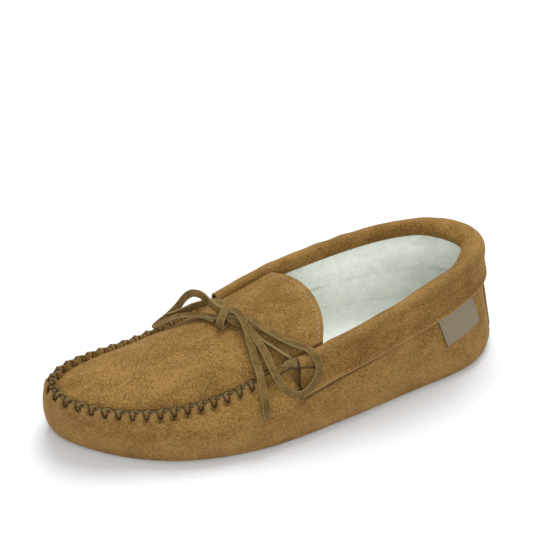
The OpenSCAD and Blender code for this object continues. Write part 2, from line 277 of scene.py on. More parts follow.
def far_side(t):
    """1 along the far side of the seam, where the ridge leans outwards, and 0 along the near side."""
    return smooth(0.1, 0.6, -np.sin(t))


def gather(t):
    """Outward meander of the seam in millimetres: in at a hole in the shell, out at one in the plug."""
    q = seam_phase(t)
    toe = np.exp(-(turned(t) / 0.9) ** 2)
    size = 0.7 + 0.25 * toe + 0.25 * noise(np.stack([q, q * 0, q * 0], -1), 1.7)
    wave = -np.cos(TAU * q)
    return size * np.where(wave < 0, -np.abs(wave) ** 0.8, wave) * seam_share(t)


def scallop(t):
    """Rise and fall of the seam's raw edges, which the thread presses down where it crosses them."""
    q = seam_phase(t)
    return (0.4 * np.cos(2 * TAU * q) + 0.25 * np.cos(TAU * q + 2)) * seam_share(t) * (1 - 0.5 * far_side(t))


# ---- Meshes ------------------------------------------------------------------------------------

def add(name, points, faces, body, materials, nodes=(), values=None):
    """One smooth-shaded mesh piece from points in millimetres."""
    mesh = bpy.data.meshes.new(name)
    points = np.asarray(points, float).reshape(-1, 3) * MM
    mesh.from_pydata(points.tolist(), [], [tuple(int(i) for i in f) for f in faces])
    mesh.polygons.foreach_set("use_smooth", [True] * len(mesh.polygons))
    for key, v in (values or {}).items():
        layer = mesh.attributes.new(key, "FLOAT", "POINT")
        layer.data.foreach_set("value", np.asarray(v, np.float32).ravel())
    for m in materials:
        mesh.materials.append(m)
    mesh.update()
    piece = bpy.data.objects.new(name, mesh)
    bpy.context.scene.collection.objects.link(piece)
    if body:
        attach(piece, body)
    if nodes:
        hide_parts(*nodes)
    return piece


def grid(rows, columns, wrap=False):
    """Quads between rows of points; wrap joins each row's last point to its first."""
    i, j = np.meshgrid(np.arange(rows - 1), np.arange(columns if wrap else columns - 1), indexing="ij")
    a, b = i * columns + j, i * columns + (j + 1) % columns
    return np.stack([a, b, b + columns, a + columns], -1).reshape(-1, 4)


def cap(n, start=0, flip=False):
    """Quads across a closed ring of an even number of points."""
    half = n // 2
    quads = [(j, j + 1, n - j - 2, n - j - 1) for j in range(half - 1)]
    return [tuple(start + i for i in (q[::-1] if flip else q)) for q in quads]


def outwards(points, faces):
    """The faces of a closed mesh, turned so that they face out."""
    p = np.asarray(points, float).reshape(-1, 3)
    volume = 0.0
    for f in faces:
        for k in range(1, len(f) - 1):
            volume += float(np.dot(p[f[0]], np.cross(p[f[k]], p[f[k + 1]])))
    return [tuple(f)[::-1] for f in faces] if volume < 0 else [tuple(f) for f in faces]


def skin(rings):
    """(points, faces) of a capped solid through rings of equally many points."""
    rings = np.asarray(rings, float)
    m, n = rings.shape[:2]
    faces = grid(m, n, wrap=True).tolist() + cap(n, 0, flip=True) + cap(n, (m - 1) * n)
    points = rings.reshape(-1, 3)
    return points, outwards(points, faces)


def solidify(piece, thickness, rim_slot=0):
    m = piece.modifiers.new("thickness", "SOLIDIFY")
    m.thickness, m.offset = thickness * MM, -1
    m.material_offset_rim = rim_slot
    return m


def resampled(route, step):
    """A smooth line through the route's points with points about step apart."""
    r = np.asarray(route, float)
    r = np.vstack([2 * r[0] - r[1], r, 2 * r[-1] - r[-2]])
    f = np.linspace(0, 1, 24, endpoint=False)[:, None]
    fine = [r[i] + 0.5 * f * (r[i + 1] - r[i - 1] + f * (
        2 * r[i - 1] - 5 * r[i] + 4 * r[i + 1] - r[i + 2]
        + f * (3 * (r[i] - r[i + 1]) + r[i + 2] - r[i - 1]))) for i in range(1, len(r) - 2)]
    fine = np.vstack(fine + [r[-2:-1]])
    long = np.concatenate([[0], np.cumsum(np.linalg.norm(np.diff(fine, axis=0), axis=1))])
    at = np.linspace(0, long[-1], max(4, int(round(long[-1] / step)) + 1))
    return np.stack([np.interp(at, long, fine[:, k]) for k in range(3)], -1), at / long[-1]


def frames(path, ups):
    """(side, up) at each point of a path, with up held near the given directions."""
    d = np.empty_like(path)
    d[1:-1], d[0], d[-1] = path[2:] - path[:-2], path[1] - path[0], path[-1] - path[-2]
    d = unit(d)
    side = unit(np.cross(d, ups))
    return d, side, np.cross(side, d)


def strap(path, ups, width, height, sides=20, power=0.55, curl=0.0, slant=0.0):
    """Rings of a flat thong along a path: power below 1 squares its section, curl dishes it."""
    d, side, up = frames(path, ups)
    a = TAU * (np.arange(sides) + 0.5) / sides
    ca, sa = np.cos(a), np.sin(a)
    ca, sa = np.sign(ca) * np.abs(ca) ** power, np.sign(sa) * np.abs(sa) ** power
    w = np.broadcast_to(width, len(path))[:, None, None]
    h = np.broadcast_to(height, len(path))[:, None, None]
    rings = (path[:, None] + side[:, None] * ca[None, :, None] * w / 2
             + up[:, None] * (sa[None, :, None] * h / 2 + curl * (ca ** 2)[None, :, None]))
    if slant:
        rings[-1] += d[-1] * (ca * slant)[:, None]
        rings[-2] += d[-1] * (ca * slant * 0.6)[:, None]
    return rings, np.broadcast_to(np.abs(ca), rings.shape[:2])


# ---- Materials ---------------------------------------------------------------------------------


class Nodes:
    """A short way to write a material's node tree."""

    def __init__(self, name):
        self.material = bpy.data.materials.new(name)
        self.material.use_nodes = True
        self.tree = self.material.node_tree
        self.shader = self.tree.nodes["Principled BSDF"]
        self.shader.inputs["Specular IOR Level"].default_value = 0.15
        self.coords = self.tree.nodes.new("ShaderNodeTexCoord").outputs["Object"]

    def link(self, value, socket):
        if isinstance(value, bpy.types.NodeSocket):
            self.tree.links.new(value, socket)
        else:
            socket.default_value = value

    def noise(self, size, detail=3.0, rough=0.6, stretch=None):
        """Noise with features about size millimetres wide, from 0 to 1."""
        n = self.tree.nodes.new("ShaderNodeTexNoise")
        n.inputs["Scale"].default_value = 1 / (size * MM)
        n.inputs["Detail"].default_value = detail
        n.inputs["Roughness"].default_value = rough
        where = self.coords
        if stretch:
            m = self.tree.nodes.new("ShaderNodeMapping")
            m.inputs["Scale"].default_value = stretch
            self.link(where, m.inputs["Vector"])
            where = m.outputs["Vector"]
        self.link(where, n.inputs["Vector"])
        return n.outputs["Fac"]

    def math(self, kind, *values, clamp=False):
        n = self.tree.nodes.new("ShaderNodeMath")
        n.operation, n.use_clamp = kind, clamp
        for v, s in zip(values, n.inputs):
            self.link(v, s)
        return n.outputs[0]

    def spread(self, value, low, high, to_low=0.0, to_high=1.0):
        n = self.tree.nodes.new("ShaderNodeMapRange")
        n.interpolation_type = "SMOOTHSTEP"
        for key, v in (("Value", value), ("From Min", low), ("From Max", high), ("To Min", to_low),
                       ("To Max", to_high)):
            self.link(v, n.inputs[key])
        return n.outputs[0]

    def mix(self, share, a, b, kind="MIX"):
        n = self.tree.nodes.new("ShaderNodeMix")
        n.data_type, n.blend_type = "RGBA", kind
        self.link(share, n.inputs[0])
        for v, s in ((a, n.inputs[6]), (b, n.inputs[7])):
            self.link((*v, 1) if isinstance(v, tuple) else v, s)
        return n.outputs[2]

    def with_shade_and_lines(self, colour, share, dark, level):
        """The colour, darkened to level times dark by the piece's painted shade, and on the fleece and the
        label by dark seam and border lines.
        """
        shade_and_lines = self.math("MULTIPLY", self.value("shade_and_lines"), share, clamp=True)
        return self.mix(shade_and_lines, colour, tuple(c * level for c in dark))

    def value(self, name):
        n = self.tree.nodes.new("ShaderNodeAttribute")
        n.attribute_name = name
        return n.outputs["Fac"]

    def bump(self, height, depth, strength=1.0, after=None):
        n = self.tree.nodes.new("ShaderNodeBump")
        n.inputs["Strength"].default_value = strength
        n.inputs["Distance"].default_value = depth * MM
        self.link(height, n.inputs["Height"])
        if after is not None:
            self.link(after, n.inputs["Normal"])
        return n.outputs[0]

    def done(self, colour, rough, normal, sheen=0.0, sheen_rough=0.5, tint=(1, 1, 1)):
        self.link((*colour, 1) if isinstance(colour, tuple) else colour, self.shader.inputs["Base Color"])
        self.link(rough, self.shader.inputs["Roughness"])
        self.link(normal, self.shader.inputs["Normal"])
        self.shader.inputs["Sheen Weight"].default_value = sheen
        self.shader.inputs["Sheen Roughness"].default_value = sheen_rough
        self.shader.inputs["Sheen Tint"].default_value = (*tint, 1)
        return self.material


def suede(name, light, dark, nap, grain=1.0):
    """Napped suede: fine fibre grain, brushed patches, paler raw edges, painted highlights on ridges and
    tops, and painted shade in folds and holes.
    """
    n = Nodes(name)
    fine = n.noise(1.1 * grain, 5, 0.75)
    brushed = n.noise(9 * grain, 4, 0.55, stretch=(0.6, 1.2, 1.0))
    broad = n.noise(38, 2, 0.5)
    tone = n.math("ADD", n.math("MULTIPLY", fine, 1.0), n.math("MULTIPLY", brushed, 0.32))
    tone = n.math("ADD", tone, n.math("MULTIPLY", broad, 0.25))
    colour = n.mix(n.spread(tone, 0.635, 0.935), dark, light)
    flecks = n.spread(n.noise(0.6, 2, 0.8), 0.62, 0.75)
    colour = n.mix(n.math("MULTIPLY", flecks, 0.35), colour, nap)
    # Paler raw edges, and painted highlights on ridges and tops, in the nap's colour
    colour = n.mix(n.math("MULTIPLY", n.value("raw_edges_and_highlights"), 0.6), colour, nap)
    # Painted shade in folds, holes and under the cuff's hem
    colour = n.with_shade_and_lines(colour, 0.75, dark, 0.28)
    normal = n.bump(brushed, 0.5, 0.35)
    normal = n.bump(n.noise(2.2, 3, 0.7), 0.35, 0.5, normal)
    normal = n.bump(fine, 0.3, 0.6, normal)
    return n.done(colour, 0.95, normal, 0.35, 0.45, nap)


def cut_edge(name, light, dark):
    """The raw cut edge of leather: fine fibrous grain over broader patches."""
    n = Nodes(name)
    fibre = n.noise(0.7, 4, 0.8)
    patch = n.noise(4, 3, 0.6)
    colour = n.mix(n.spread(n.math("ADD", fibre, patch), 0.7, 1.35), dark, light)
    normal = n.bump(fibre, 0.3, 0.7, n.bump(patch, 0.4, 0.4))
    return n.done(colour, 0.9, normal, 0.2, 0.5, light)


def thong_leather(name, light, dark, edge):
    """Suede thong: a napped brown face with paler olive cut edges."""
    n = Nodes(name)
    fine, patch = n.noise(0.9, 4, 0.75), n.noise(7, 3, 0.6)
    face = n.mix(n.spread(n.math("ADD", fine, patch), 0.75, 1.3), dark, light)
    sides = n.spread(n.math("ADD", n.value("side"), n.math("MULTIPLY", patch, 0.1)), 0.8, 0.98)
    colour = n.mix(sides, face, edge)
    # Painted shade where a piece asks for it, as on the strands inside the knot
    colour = n.with_shade_and_lines(colour, 0.7, dark, 0.3)
    normal = n.bump(fine, 0.25, 0.6, n.bump(patch, 0.3, 0.4))
    return n.done(colour, 0.92, normal, 0.25, 0.45, light)


def fleece_pile(name, light, shade, shade_and_seam_grey):
    """Short woolly pile: soft clumps with shaded partings."""
    n = Nodes(name)
    tuft, clump, broad = n.noise(1.3, 4, 0.7), n.noise(5, 3, 0.6), n.noise(22, 2, 0.5)
    tone = n.math("ADD", n.math("MULTIPLY", tuft, 0.5), n.math("MULTIPLY", clump, 0.5))
    colour = n.mix(n.spread(tone, 0.3, 0.62), shade, light)
    colour = n.mix(n.spread(broad, 0.55, 0.8, 0, 0.35), colour, shade)
    # Painted shade, and the darker seam line, in grey
    colour = n.with_shade_and_lines(colour, 0.8, shade_and_seam_grey, 1.0)
    normal = n.bump(clump, 1.0, 0.4)
    normal = n.bump(tuft, 0.7, 0.55, normal)
    return n.done(colour, 1.0, normal, 0.4, 0.6, light)


def twisted_thread(name, light, dark):
    """Thread whose plies show as fine slanting streaks."""
    n = Nodes(name)
    w = n.tree.nodes.new("ShaderNodeTexWave")
    w.bands_direction = "DIAGONAL"
    w.inputs["Scale"].default_value = 420
    w.inputs["Distortion"].default_value = 1.5
    n.link(n.coords, w.inputs["Vector"])
    colour = n.mix(w.outputs["Fac"], dark, light)
    # Painted shade where the thread sinks into its holes
    colour = n.with_shade_and_lines(colour, 0.85, dark, 0.2)
    return n.done(colour, 0.75, n.bump(w.outputs["Fac"], 0.15, 0.8), 0.1, 0.4, light)


def weave(name, warp, weft):
    """Fine woven tape."""
    n = Nodes(name)
    waves = []
    for direction, size in (("X", 2900), ("Z", 2300)):
        w = n.tree.nodes.new("ShaderNodeTexWave")
        w.bands_direction = direction
        w.inputs["Scale"].default_value = size / 6.283
        n.link(n.coords, w.inputs["Vector"])
        waves.append(w.outputs["Fac"])
    both = n.math("MULTIPLY", *waves)
    speck = n.noise(1.0, 3, 0.7)
    colour = n.mix(n.spread(n.math("ADD", both, n.math("MULTIPLY", speck, 0.6)), 0.2, 1.1), weft, warp)
    colour = n.with_shade_and_lines(colour, 0.8, weft, 0.4)
    return n.done(colour, 0.8, n.bump(both, 0.2, 0.8), 0.2, 0.4, warp)


SUEDE_LIGHT, SUEDE_DARK, SUEDE_NAP = (0.295, 0.168, 0.050), (0.130, 0.068, 0.014), (0.37, 0.235, 0.09)
CUFF_LIGHT, CUFF_DARK, CUFF_NAP = (0.275, 0.151, 0.042), (0.122, 0.060, 0.011), (0.33, 0.215, 0.085)
OLIVE_LIGHT, OLIVE_DARK = (0.20, 0.145, 0.058), (0.095, 0.060, 0.018)
LACE_LIGHT, LACE_DARK, LACE_EDGE = (0.19, 0.118, 0.040), (0.085, 0.050, 0.013), (0.22, 0.165, 0.066)
suede_tan = suede("suede_tan", SUEDE_LIGHT, SUEDE_DARK, SUEDE_NAP)
suede_brown = suede("suede_brown", CUFF_LIGHT, CUFF_DARK, CUFF_NAP)
raw_edge = cut_edge("raw_edge", OLIVE_LIGHT, OLIVE_DARK)
lace_leather = thong_leather("lace_leather", LACE_LIGHT, LACE_DARK, LACE_EDGE)
fleece_white = fleece_pile("fleece_white", (0.875, 0.915, 0.85), (0.74, 0.78, 0.72), (0.36, 0.37, 0.33))
thread_brown = twisted_thread("thread_brown", (0.085, 0.052, 0.022), (0.032, 0.018, 0.008))
thread_tan = twisted_thread("thread_tan", (0.26, 0.16, 0.07), (0.12, 0.07, 0.028))
thread_pale = twisted_thread("thread_pale", (0.50, 0.36, 0.25), (0.30, 0.20, 0.12))
label_weave = weave("label_weave", (0.30, 0.255, 0.185), (0.19, 0.155, 0.105))

# ---- Lace --------------------------------------------------------------------------------------

LACE_W, LACE_T = 4.6, 1.8
THONG_NEAR = [[-20, -9, 56.5], [-16, -18, 54], [-10, -27, 51.5], [-5, -33.5, 49]]
THONG_FAR = [[-25.5, 36.5, 45.5], [-26.5, 30, 50.5], [-27.5, 23, 54], [-28.3, 16.5, 56], [-28.3, 11.5, 57],
             [-29, 7, 57.5]]
NEAR_ROUTE = [[-20, -2, 59.5], [-16, -8, 59], [-12.5, -14, 57.5], [-8, -20, 56], [-3, -26, 54.5],
              [2, -32, 54], [6, -38.5, 54.5], [8, -46, 51], [7.5, -48, 43.5], [3.5, -48.5, 37],
              [-2.5, -48, 32], [-9.5, -47, 33.5], [-14, -45, 39.5], [-17, -42, 46],
              [-18, -35.5, 50.5], [-18.5, -28.5, 53.5], [-19.5, -21, 55.5], [-20.5, -14, 57],
              [-22, -7, 58]]
FAR_ROUTE = [[-31, 6, 61], [-34.5, 9.5, 62.5], [-37, 14.5, 64], [-39.5, 20, 65.5],
             [-42.5, 24.5, 64.5], [-44.5, 28.5, 61], [-47, 31, 56.5], [-49.5, 32.5, 51.5],
             [-53.5, 33.5, 46.5], [-58, 34.5, 42], [-63, 34.5, 39], [-65, 31, 41], [-61, 28, 45],
             [-57, 25.5, 48.5], [-52.5, 22.5, 51.5], [-47.5, 19, 53.5], [-42.5, 15, 55],
             [-39, 10, 56], [-36, 5, 56.5]]
NEAR_TAIL_ROUTE = [[-27, 4, 63], [-25, 0.5, 63.5], [-24, -4.5, 63], [-23.5, -9.5, 61.5],
                   [-23.5, -14.5, 59], [-24, -19, 55.5], [-24, -23.5, 53], [-24.5, -28, 50],
                   [-25, -33, 49], [-25.5, -38.5, 47], [-25.5, -42, 42.5], [-26, -46, 38.5],
                   [-26, -49.5, 34], [-26.5, -52.5, 30], [-26.5, -55, 25.5]]
FAR_TAIL_ROUTE = [[-32, 9, 59], [-32.5, 11, 59.5], [-33.5, 13.5, 60], [-34.5, 16, 60], [-36, 18.5, 60],
                  [-37.5, 20.5, 58.5], [-39.5, 22, 57], [-41.5, 23.5, 55.7], [-43.5, 24.5, 54.6],
                  [-46, 25.5, 53], [-48, 26.5, 51.6], [-50, 27.5, 50.2], [-52.5, 28.5, 48.8],
                  [-54.5, 29.5, 47.6], [-57, 30.5, 46.4]]


def near_up(i):
    k = smooth(5, 8, i) * (1 - smooth(12, 15, i))
    return np.stack([0 * k, -k, 1 - 0.8 * k], -1)


def far_up(i):
    k = 1 - smooth(7, 12, i)
    return np.stack([-0.8 * k, -0.4 * k, 1 - 0.6 * k], -1)


def near_tail_up(i):
    k = smooth(6, 11, i)
    return np.stack([0 * k, -k, 1 - 0.8 * k], -1)


def far_tail_up(i):
    return np.stack([0.2 + 0 * i, -0.9 + 0 * i, 0.4 + 0 * i], -1)


def lace(name, route, up_at, nodes, width=LACE_W, height=LACE_T, slant=0.0, body="slipper", seed=0.0):
    """A flat thong of cut suede along a route, with the small unevenness of hand cutting."""
    path, share = resampled(route, 1.1)
    i = share * (len(route) - 1)
    wobble = noise(path, 9, seed)
    widths = width * (1 + 0.07 * wobble)
    rings, side = strap(path, up_at(i), widths, height * (1 + 0.1 * noise(path, 6, seed + 3)),
                        curl=0.12, slant=slant)
    points, faces = skin(rings)
    piece = add(name, points, faces, body, [lace_leather], nodes,
                {"side": side.ravel(), "shade_and_lines": np.zeros(len(points))})
    return piece, path


for name, route, up_at, end, slant in (
        ("lace_loop_near", NEAR_ROUTE, near_up, "object", 0.0),
        ("lace_loop_far", FAR_ROUTE, far_up, "object", 0.0),
        ("lace_tail_near", NEAR_TAIL_ROUTE, near_tail_up, "bare", 1.5),
        ("lace_tail_far", FAR_TAIL_ROUTE, far_tail_up, "bare", 1.2)):
    piece, path = lace(name + "_leather", route, up_at, [name], slant=slant, seed=len(name) * 0.37)

CUFF_T0, CUFF_T1 = math.radians(91), math.radians(278)
run_t = np.linspace(CUFF_T0 + 0.009, CUFF_T1 - 0.009, 45)
run = on_crest(run_t, -1.6 - 4.5 * heel(run_t), np.full(45, -5.5))
thong_points = np.vstack([THONG_NEAR, run, THONG_FAR])
thong_ups = np.vstack([[[0.3, 0.5, 0.8]] * len(THONG_NEAR), crest_normal(run_t),
                       [[0, 0.2, 1.0]] * len(THONG_FAR)])


def thong_up(i):
    return np.stack([np.interp(i, np.arange(len(thong_ups)), thong_ups[:, k]) for k in range(3)], -1)


def by_chord(route, up_at):
    """up_at for a route whose points aren't evenly spaced."""
    r = np.asarray(route, float)
    long = np.concatenate([[0], np.cumsum(np.linalg.norm(np.diff(r, axis=0), axis=1))])
    return lambda i: up_at(np.interp(i / (len(r) - 1) * long[-1], long, np.arange(len(r))))


lace("lace_thong_leather", thong_points, by_chord(thong_points, thong_up), ["lace_thong"], seed=2.2)

# The knot: the bow's strands pass through a band that wraps round them
KNOT_MIDDLE = np.array([-32.5, 1.9, 58.8])
KNOT_AXIS = unit(np.array([0.76, -0.65, -0.02]))
KNOT_ACROSS = unit(np.cross([0, 0, 1.0], KNOT_AXIS))
wrap_turn = np.linspace(0.4, 0.4 + TAU * 1.08, 46)
wrap_path = (KNOT_MIDDLE + KNOT_ACROSS * (6.9 * np.cos(wrap_turn))[:, None]
             + np.array([0, 0, 1.0]) * (3.9 * np.sin(wrap_turn))[:, None]
             + KNOT_AXIS * (np.linspace(-1.0, 1.6, 46) + 0.5 * np.sin(wrap_turn))[:, None])
wrap_up = unit(wrap_path - KNOT_MIDDLE - KNOT_AXIS * ((wrap_path - KNOT_MIDDLE) @ KNOT_AXIS)[:, None])
rings, side = strap(wrap_path, wrap_up, 4.9, 1.7, curl=-0.15)
points, faces = skin(rings)
add("knot_wrap", points, faces, "slipper", [lace_leather], ["lace_knot"],
    {"side": side.ravel(), "shade_and_lines": np.zeros(len(points))})
KNOT_STRANDS = [
    ([[-40, 11.5, 56.6], [-36.5, 6.5, 57.6], [-33, 5, 58.4], [-29.5, 3.4, 59.8], [-26, 0.5, 60.6],
      [-22.5, -3.5, 59.4], [-20.5, -9, 57]], [0.1, 0.1, 1.0]),
    ([[-31.5, 8.5, 59.2], [-29.5, 6.3, 60.3], [-27, 3.6, 61.2], [-24, 0.6, 61], [-21, -2, 59.8],
      [-18.5, -5, 59]], [0.3, 0.4, 1.0]),
    ([[-30.5, 6.5, 61], [-30, 2.5, 60], [-28, -0.8, 58.6], [-25, -3.6, 58], [-22, -6.8, 58]],
     [-0.5, -0.5, 0.8]),
    ([[-27, 9, 57.4], [-27.5, 5, 57.2], [-26, 0, 57.2], [-23, -5, 57], [-20, -9, 56.5]],
     [0, 0, 1.0])]
strand_points, strand_faces, strand_side = [], [], []
for route, up in KNOT_STRANDS:
    path, share = resampled(route, 0.9)
    rings, side = strap(path, np.tile(up, (len(path), 1)), 4.2, 1.7, curl=0.1)
    points, faces = skin(rings)
    base = sum(len(p) for p in strand_points)
    strand_points.append(points)
    strand_faces += [tuple(base + i for i in f) for f in faces]
    strand_side.append(side.ravel())
strand_side = np.concatenate(strand_side)
# The strands inside the knot get a little painted shade
add("knot_strands", np.vstack(strand_points), strand_faces, "slipper", [lace_leather], (),
    {"side": strand_side, "shade_and_lines": 0.25 + 0 * strand_side})

# ---- Shell -------------------------------------------------------------------------------------

ROUND = 1280
EDGE_T = 1.6
turn = TAU * np.arange(ROUND) / ROUND
levels = np.concatenate([np.linspace(-1, 0, 11)[:-1], np.linspace(0, 0.6, 30)[:-1],
                         np.linspace(0.6, 0.8, 22)[:-1], np.linspace(0.8, 1, 11)])
T, S = np.meshgrid(turn, levels)
body = wall(T, S)
out = wall_normal(T, S)
near_seam = smooth(0.5, 0.8, S)
folds = gather(T) * mix(near_seam ** 1.6, 1, smooth(0.78, 0.84, S))
# Every few gathers run on down the wall as a soft crease
crease = noise(np.stack([seam_phase(T) * 1.0, 0 * T, S * 2], -1), 0.9)
creases = 1.2 * crease * smooth(0.15, 0.6, S) * (1 - smooth(0.74, 0.84, S)) * seam_share(T)
soft = 0.7 * noise(body, 34, 4.1) + 0.35 * noise(body, 14, 1.7)
soft = soft * smooth(-0.9, -0.3, S) * (1 - smooth(0.7, 0.82, S))
soft = soft * (1 - 0.6 * smooth(0.45, 0.6, S) * (1 - seam_share(T)))
root_pinch = -0.8 * np.exp(-((S - 0.78) / 0.035) ** 2) * seam_share(T)
pinch = root_pinch * (0.35 + 0.65 * (0.5 + 0.5 * np.cos(TAU * seam_phase(T))) ** 3)
body = body + out * (folds + creases + soft + pinch)[..., None]
body[..., 2] += (scallop(T) - 0.7 * far_side(T) * seam_share(T)) * smooth(0.85, 1, S)
body[..., 2] = np.maximum(body[..., 2], 0.0)
inset_rings = np.stack([bulge(turn, 0.0, d) for d in (36, 28, 20, 14, 10)])
shell_points = np.concatenate([inset_rings, body])
shell_faces = cap(ROUND, 0, flip=True) + grid(len(shell_points), ROUND, wrap=True).tolist()
# Painted shade: darker at the seam holes and in the inward folds, a painted shadow under the cuff's hem, and
# shade where the cuff covers the shell
at_hole = (0.5 + 0.5 * np.cos(TAU * seam_phase(T))) ** 12
hole = 0.8 * np.exp(-((S - 0.81) / 0.016) ** 2) * at_hole * seam_share(T)
shade_and_lines = np.clip(hole + 0.35 * np.clip(-folds / 1.2, 0, 1) * near_seam, 0, 1)
below_hem = rim(T)[..., 2] - flap_depth(T) - 0.6 - body[..., 2]
shadow_under_hem = np.exp(-((below_hem - 1.8) / 1.4) ** 2) * tucked(T)
shade_and_lines = np.clip(shade_and_lines + shadow_under_hem + tucked(T) * (below_hem < 0), 0, 1)
pad = np.zeros((len(inset_rings), ROUND))
# Painted highlights: paler on the outward folds by the seam and along the bulge
raw_edges_and_highlights = 0.5 * np.clip(folds, 0, 1) * near_seam + 0.25 * np.exp(-((S + 0.1) / 0.25) ** 2)
shell = add("shell_suede", shell_points, shell_faces, "slipper", [suede_tan, raw_edge], ["shell"],
            {"shade_and_lines": np.concatenate([pad, shade_and_lines]), "raw_edges_and_highlights": np.concatenate([pad, raw_edges_and_highlights])})
solidify(shell, EDGE_T, 1)

# ---- Vamp and tongue: one piece of suede -------------------------------------------------------

HALF = 320
ACROSS = 64
TONGUE_X, TONGUE_BOW, TONGUE_SKEW = 26, -10.5, 2
SPINE_START = -96


def under_cuff(t):
    """0 beside the gathered seam and 1 where the vamp's edge runs in under the cuff."""
    x = mix(RIM_TOE, RIM_HEEL, along(t))
    return np.where(np.sin(t) >= 0, smooth(-3, 3, x), smooth(-27, -21, x))


def sunk(t):
    """1 where the vamp's edge has stopped standing up beside the shell's, and 0 along the seam."""
    x = mix(RIM_TOE, RIM_HEEL, along(t))
    return np.where(np.sin(t) >= 0, smooth(-12, -3, x), smooth(-36, -26, x))


def vamp_grid(drop=0.0, inset=0.0, end=TONGUE_X, raised=True, half=HALF, across=ACROSS):
    """Rows of points from the seam to the middle line, from one side of the tongue's end round the toe."""
    far, near = (float(angle_at(np.array(end + TONGUE_BOW + TONGUE_SKEW * side))) for side in (-1, 1))
    arc_t = np.linspace(-far, near, 2 * half + 1)
    steps = np.concatenate([[0], np.cumsum(np.linalg.norm(np.diff(rim(arc_t), axis=0), axis=1))])
    t = np.interp(np.linspace(0, steps[-1], 2 * half + 1), steps, arc_t)
    behind, far_flank = under_cuff(t), far_side(t)
    edge_inset = mix(mix(4.8, 5.4, far_flank), 5.8, behind) + inset
    edge = rim(t, edge_inset)
    a = np.linspace(-1, 1, 2 * half + 1)
    spine_x = mix(SPINE_START, end, smooth(0, 1, np.abs(a)) * 0.35 + 0.65 * np.abs(a))
    ts = angle_at(spine_x)
    spine_y = (rim(TAU - ts, 2.4)[:, 1] + rim(ts, 2.4)[:, 1]) / 2
    k = np.linspace(0, 1, across)[:, None] ** 1.35
    ease = 1 - (1 - k) ** (1 + a ** 2)
    x = mix(edge[None, :, 0], spine_x[None], ease)
    y = mix(edge[None, :, 1], spine_y[None], k)
    z = vamp_height(x, y) - drop
    flat = np.stack([x, y, z], -1)
    if not raised:
        return flat, t
    # Near the seam the suede dips into a gutter and its edge turns up beside the shell's. Behind
    # the seam its edge turns down inside the cuff.
    from_edge = np.linalg.norm(flat[..., :2] - edge[None, :, :2], axis=-1)
    front = (1 - behind)[None]
    flat[..., 2] -= 1.2 * np.exp(-(from_edge / 2.0) ** 2) * front
    flank = []
    for step in np.linspace(1, 0, 9)[:-1]:
        lean = mix(1.55 * math.sin(step * np.pi / 2), 3.2 * step, far_flank)
        rise = mix((1 - math.cos(step * np.pi / 2)) ** 0.8, step, far_flank)
        p = rim(t, edge_inset - mix(lean, 0.7 * step, behind))
        crest = rim(t)[:, 2] - 0.3 + 0.7 * far_flank + scallop(t)
        turned_up = mix(flat[0, :, 2], crest, rise * (1 - sunk(t)))
        p[:, 2] = mix(turned_up, flat[0, :, 2] - 3.0 * step, behind)
        flank.append(p)
    return np.concatenate([flank, flat]), t


def fold_faces(rows, half, flip):
    """Quads of a grid whose last row is folded on itself, and the map from points to kept points."""
    width = 2 * half + 1
    keep = np.arange(rows * width)
    last = (rows - 1) * width
    for j in range(half):
        keep[last + width - 1 - j] = last + j
    faces = []
    for q in grid(rows, width).tolist():
        q = list(dict.fromkeys(int(keep[i]) for i in q))
        if len(q) >= 3:
            faces.append(tuple(q[::-1]) if flip else tuple(q))
    used = sorted({i for f in faces for i in f})
    new = {old: i for i, old in enumerate(used)}
    return [tuple(new[i] for i in f) for f in faces], used




def rumple(p):
    """Broad, shallow unevenness of the vamp in millimetres."""
    return 0.75 * noise(p, 30, 7.3) + 0.4 * noise(p, 13, 2.9)


flat, vamp_t = vamp_grid()
rows = len(flat)
meander = gather(vamp_t)[:, None] * crest_normal(vamp_t)
fade = np.exp(-np.clip(np.arange(rows) - 9, 0, None) / 5.0)[:, None, None]
flat = flat + meander[None] * fade
k = (np.arange(rows) - 8) / (rows - 9)
flat[..., 2] += rumple(flat) * smooth(0.02, 0.25, k)[:, None]
# Pull marks: a soft hollow behind the bow and a ripple at each seam hole
hollow = np.exp(-(((flat[..., 0] + 30) / 16) ** 2 + ((flat[..., 1] - 2) / 16) ** 2))
flat[..., 2] -= 1.2 * hollow
ripple = 0.35 * np.cos(TAU * seam_phase(vamp_t)) * seam_share(vamp_t)
flat[..., 2] += ripple[None] * (np.exp(-((k - 0.04) / 0.05) ** 2) * (k > 0))[:, None]
vamp_faces, used = fold_faces(rows, HALF, flip=False)
# Painted shade at the plug's holes and along the gutter beside the seam
q = seam_phase(vamp_t)
plug_hole_shade = (0.5 - 0.5 * np.cos(TAU * q)) ** 12 * seam_share(vamp_t)
vamp_shade = plug_hole_shade[None] * np.exp(-((np.arange(rows) - 8) / 1.6) ** 2)[:, None]
gutter = np.exp(-((np.arange(rows) - 8.5) / 2.2) ** 2)[:, None] * seam_share(vamp_t)[None]
vamp_shade = np.clip(vamp_shade + 0.4 * gutter, 0, 1)
# Painted highlight: paler on the vamp's top, from 62 mm up
vamp_highlight = 0.4 * smooth(0, 9, flat[..., 2] - 62) + 0 * flat[..., 0]
vamp_points = flat.reshape(-1, 3)[used]
vamp = add("vamp_suede", vamp_points, vamp_faces, None, [suede_tan, raw_edge],
           ["vamp_plug", "tongue"], {"shade_and_lines": vamp_shade.ravel()[used], "raw_edges_and_highlights": vamp_highlight.ravel()[used]})
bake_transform(vamp)
solidify(vamp, EDGE_T, 1)

# ---- Fleece under the vamp ---------------------------------------------------------------------

